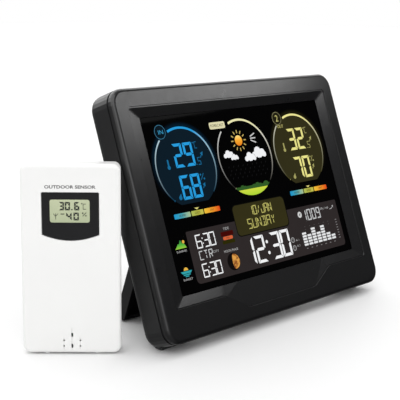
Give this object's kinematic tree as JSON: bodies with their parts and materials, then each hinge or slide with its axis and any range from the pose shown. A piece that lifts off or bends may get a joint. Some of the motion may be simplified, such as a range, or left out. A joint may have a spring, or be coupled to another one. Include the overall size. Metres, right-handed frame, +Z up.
{
  "type": "home weather station",
  "caption": "Tabletop weather station: a colour-display console leaning back on a fold-out leg, with a separate white wireless temperature sensor standing beside it.",
  "frame": {"origin": "middle of the footprint of the console and the sensor together, on the table", "axes": "+X along the console's width, to the right of someone who looks at the display; +Y away from that viewer; +Z up"},
  "size_m": [0.2508, 0.076, 0.1444],
  "materials": {
    "case": "fine-textured charcoal moulded plastic, satin",
    "lens": "dark polished acrylic",
    "lcd": "display glass with its polarising film",
    "diffuser": "white light guide and frame",
    "flex": "amber flexible circuit",
    "board": "green solder mask",
    "component": "black moulded component",
    "screw": "zinc-plated steel",
    "cell": "plain printed sleeve",
    "contact": "nickel-plated spring steel",
    "rubber": "soft black rubber",
    "white_case": "satin white moulded plastic",
    "window": "back-printed black acrylic window",
    "segment_lcd": "grey-green reflective segment display"
  },
  "bodies": {
    "console": {"front_bezel": "case", "display_lens": "lens", "lcd_glass": "lcd", "backlight_panel": "diffuser", "lcd_ribbon": "flex", "touch_electrode": "board", "main_board": "board", "receiver_board": "board", "climate_probe": "board", "buzzer": "component", "dc_socket": "component", "rear_cover": "case", "rear_screw_1": "screw", "rear_screw_2": "screw", "rear_screw_3": "screw", "rear_screw_4": "screw", "rear_screw_5": "screw", "rear_screw_6": "screw", "battery_1": "cell", "battery_2": "cell", "battery_3": "cell", "battery_contact_left": "contact", "battery_contact_right": "contact", "foot_pad_left": "rubber", "foot_pad_right": "rubber"},
    "stand": {"stand_leg": "case", "stand_pad_left": "rubber", "stand_pad_right": "rubber"},
    "battery_cover": {"battery_door": "case"},
    "key_1_body": {"key_1": "case"},
    "key_2_body": {"key_2": "case"},
    "key_3_body": {"key_3": "case"},
    "key_4_body": {"key_4": "case"},
    "key_5_body": {"key_5": "case"},
    "key_6_body": {"key_6": "case"},
    "key_7_body": {"key_7": "case"},
    "sensor": {"sensor_front_shell": "white_case", "sensor_window": "window", "sensor_lcd": "segment_lcd", "sensor_board": "board", "sensor_rear_shell": "white_case", "sensor_battery_1": "cell", "sensor_battery_2": "cell", "sensor_contact_bottom": "contact", "sensor_contact_top": "contact", "sensor_probe": "board", "sensor_antenna": "contact", "sensor_screw_1": "screw", "sensor_screw_2": "screw", "sensor_screw_3": "screw", "sensor_screw_4": "screw"},
    "sensor_cover": {"sensor_battery_door": "white_case"},
    "channel_knob": {"sensor_channel_switch": "component"},
    "send_button": {"sensor_tx_button": "component"}
  },
  "joints": [
    {"name": "stand_hinge", "type": "hinge", "parent": "console", "child": "stand", "pos_m": [0.02542, 0.00653, 0.07699], "axis": [1, 0, 0], "range_deg": [-40, 0]},
    {"name": "battery_door_slide", "type": "slide", "parent": "console", "child": "battery_cover", "axis": [0, 0.9397, -0.342], "range_m": [0, 0.03]},
    {"name": "key_1_press", "type": "slide", "parent": "console", "child": "key_1_body", "axis": [0, -0.9397, 0.342], "range_m": [0, 0.0008], "stiffness_N_per_m": 600},
    {"name": "key_2_press", "type": "slide", "parent": "console", "child": "key_2_body", "axis": [0, -0.9397, 0.342], "range_m": [0, 0.0008], "stiffness_N_per_m": 600},
    {"name": "key_3_press", "type": "slide", "parent": "console", "child": "key_3_body", "axis": [0, -0.9397, 0.342], "range_m": [0, 0.0008], "stiffness_N_per_m": 600},
    {"name": "key_4_press", "type": "slide", "parent": "console", "child": "key_4_body", "axis": [0, -0.9397, 0.342], "range_m": [0, 0.0008], "stiffness_N_per_m": 600},
    {"name": "key_5_press", "type": "slide", "parent": "console", "child": "key_5_body", "axis": [0, -0.9397, 0.342], "range_m": [0, 0.0008], "stiffness_N_per_m": 600},
    {"name": "key_6_press", "type": "slide", "parent": "console", "child": "key_6_body", "axis": [0, -0.9397, 0.342], "range_m": [0, 0.0008], "stiffness_N_per_m": 600},
    {"name": "key_7_press", "type": "slide", "parent": "console", "child": "key_7_body", "axis": [0, -0.9397, 0.342], "range_m": [0, 0.0008], "stiffness_N_per_m": 600},
    {"name": "sensor_lift", "type": "slide", "parent": "console", "child": "sensor", "axis": [0, 0, 1], "range_m": [0, 0.15]},
    {"name": "sensor_door_slide", "type": "slide", "parent": "sensor", "child": "sensor_cover", "axis": [0, 0, -1], "range_m": [0, 0.01]},
    {"name": "channel_slide", "type": "slide", "parent": "sensor", "child": "channel_knob", "axis": [0.7071, -0.7071, 0], "range_m": [-0.002, 0.002]},
    {"name": "send_press", "type": "slide", "parent": "sensor", "child": "send_button", "axis": [-0.7071, -0.7071, 0], "range_m": [0, 0.0005], "stiffness_N_per_m": 600}
  ]
}
